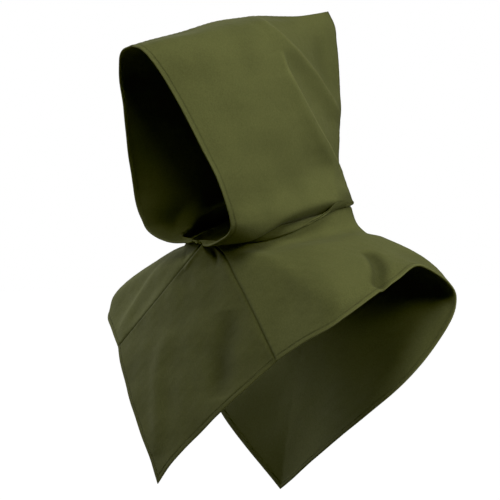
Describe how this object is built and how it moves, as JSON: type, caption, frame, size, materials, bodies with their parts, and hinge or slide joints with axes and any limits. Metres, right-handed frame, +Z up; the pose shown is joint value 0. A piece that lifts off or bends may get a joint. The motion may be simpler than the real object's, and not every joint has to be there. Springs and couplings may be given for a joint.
{
  "type": "medieval hood",
  "caption": "Worn cloth hood with a square front gusset and a short pointed shoulder cape, kept in its worn shape.",
  "frame": {"origin": "crown seat, where the cloth rests on the top of the head, on the middle plane", "axes": "+Z up, -Y the way the wearer faces, +X towards the wearer's left"},
  "size_m": [0.5494, 0.4073, 0.741],
  "materials": {
    "wool": "matte woven wool, olive green"
  },
  "bodies": {
    "root": {"hood_left": "wool", "hood_right": "wool", "cape": "wool", "front_gusset": "wool"}
  },
  "joints": []
}
